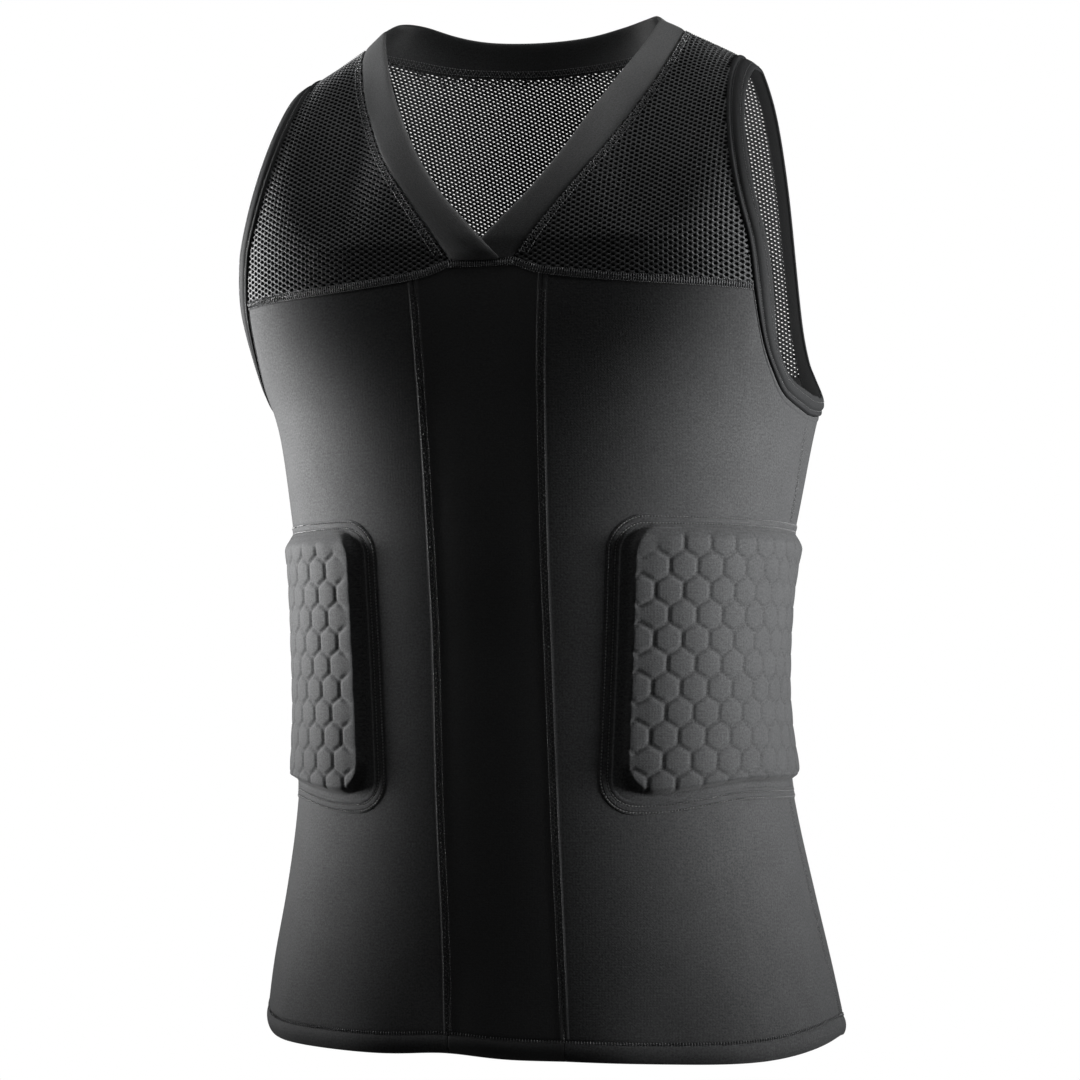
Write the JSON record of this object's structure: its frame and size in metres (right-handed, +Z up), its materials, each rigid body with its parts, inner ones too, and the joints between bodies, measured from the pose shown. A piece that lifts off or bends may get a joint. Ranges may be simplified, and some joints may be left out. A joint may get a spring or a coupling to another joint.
{
  "type": "padded tank top",
  "caption": "Sleeveless compression top with a lapped V neck, open-mesh shoulders and foam hexagon pads round the ribs, in the form it keeps when worn.",
  "frame": {"origin": "midway between the two shoulder straps, level with their tops, where the top hangs on the shoulders", "axes": "+Z up, +X to the wearer's left, -Y out of the front of the chest"},
  "size_m": [0.399, 0.2462, 0.6831],
  "materials": {
    "stretch_knit": "charcoal stretch knit with a soft sheen",
    "centre_knit": "near-black stretch knit, matt",
    "open_mesh": "black open-hole mesh",
    "satin_band": "black elastic band with a satin face",
    "pad_knit": "charcoal knit bonded over foam hexagons"
  },
  "bodies": {
    "root": {"centre_panel": "centre_knit", "side_panel_left": "stretch_knit", "side_panel_right": "stretch_knit", "back_panel": "stretch_knit", "yoke_left": "open_mesh", "yoke_right": "open_mesh", "back_yoke": "open_mesh", "neck_band": "satin_band", "armhole_binding_left": "satin_band", "armhole_binding_right": "satin_band", "rib_pad_left": "pad_knit", "rib_pad_right": "pad_knit"}
  },
  "joints": []
}
